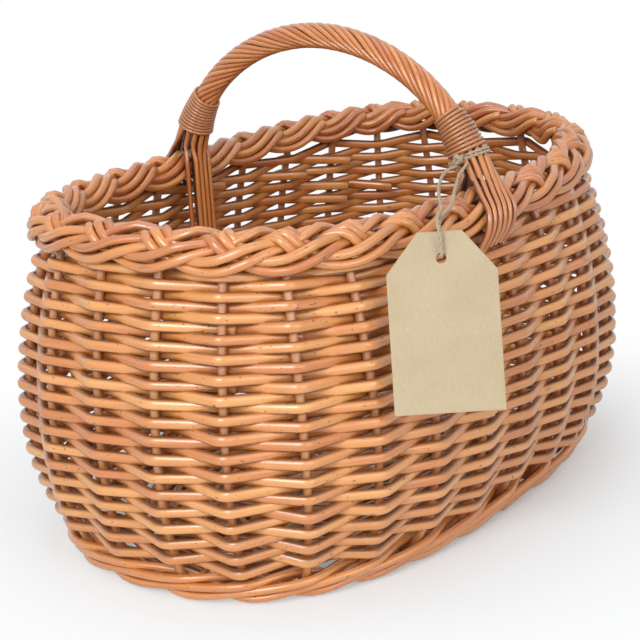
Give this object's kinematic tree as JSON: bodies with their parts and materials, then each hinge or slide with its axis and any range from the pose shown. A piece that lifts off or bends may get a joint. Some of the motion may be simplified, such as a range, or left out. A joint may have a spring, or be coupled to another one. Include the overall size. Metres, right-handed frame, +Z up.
{
  "type": "foraging_basket",
  "caption": "Bellied oval willow basket with plaited border, roped hoop handle, cane collars and a bare card tag on twine.",
  "frame": {"origin": "Middle of the basket's outline, on the surface that it stands on, without the hanging tag and its twine.", "axes": "+X along the basket's length, +Y across it toward the far side, +Z up. The hoop handle lies in the plane x = 0."},
  "size_m": [0.4216, 0.3424, 0.2995],
  "materials": {
    "stake": "glossy boiled and peeled willow",
    "siding": "glossy boiled and peeled willow",
    "upsett": "glossy boiled and peeled willow",
    "base": "satin willow",
    "border": "glossy boiled and peeled willow",
    "handle": "glossy boiled and peeled willow",
    "cane": "glossy split willow",
    "jute": "matt two-ply jute",
    "card": "matt brown card"
  },
  "bodies": {
    "basket": {"stake_01": "stake", "stake_02": "stake", "stake_03": "stake", "stake_04": "stake", "stake_05": "stake", "stake_06": "stake", "stake_07": "stake", "stake_08": "stake", "stake_09": "stake", "stake_10": "stake", "stake_11": "stake", "stake_12": "stake", "stake_13": "stake", "stake_14": "stake", "stake_15": "stake", "stake_16": "stake", "stake_17": "stake", "stake_18": "stake", "stake_19": "stake", "stake_20": "stake", "stake_21": "stake", "stake_22": "stake", "stake_23": "stake", "stake_24": "stake", "stake_25": "stake", "stake_26": "stake", "stake_27": "stake", "siding_band_1": "siding", "siding_band_2": "siding", "siding_band_3": "siding", "siding_band_4": "siding", "siding_band_5": "siding", "siding_band_6": "siding", "upsett_wale": "upsett", "base_long_stick_1": "base", "base_long_stick_2": "base", "base_long_stick_3": "base", "base_cross_stick_1": "base", "base_cross_stick_2": "base", "base_cross_stick_3": "base", "base_cross_stick_4": "base", "base_cross_stick_5": "base", "base_weaver_1": "base", "base_weaver_2": "base", "border_strand_1": "border", "border_strand_2": "border", "border_strand_3": "border", "handle_core": "handle", "handle_roping_1": "handle", "handle_roping_2": "handle", "handle_roping_3": "handle", "handle_roping_4": "handle", "handle_roping_5": "handle", "handle_roping_6": "handle", "collar_near": "cane", "collar_far": "cane", "twine_hitch": "jute"},
    "twine": {"twine_fall": "jute"},
    "tag": {"hang_tag": "card"}
  },
  "joints": [
    {"name": "twine_swing", "type": "hinge", "parent": "basket", "child": "twine", "pos_m": [-0.01415, -0.11385, 0.22345], "axis": [-0.262, 0.9092, -0.3236], "range_deg": [0, 60]},
    {"name": "tag_turn", "type": "hinge", "parent": "twine", "child": "tag", "pos_m": [-0.0985, -0.154, 0.1935], "axis": [-0.7394, -0.6011, 0.3032], "range_deg": [0, 60]}
  ]
}
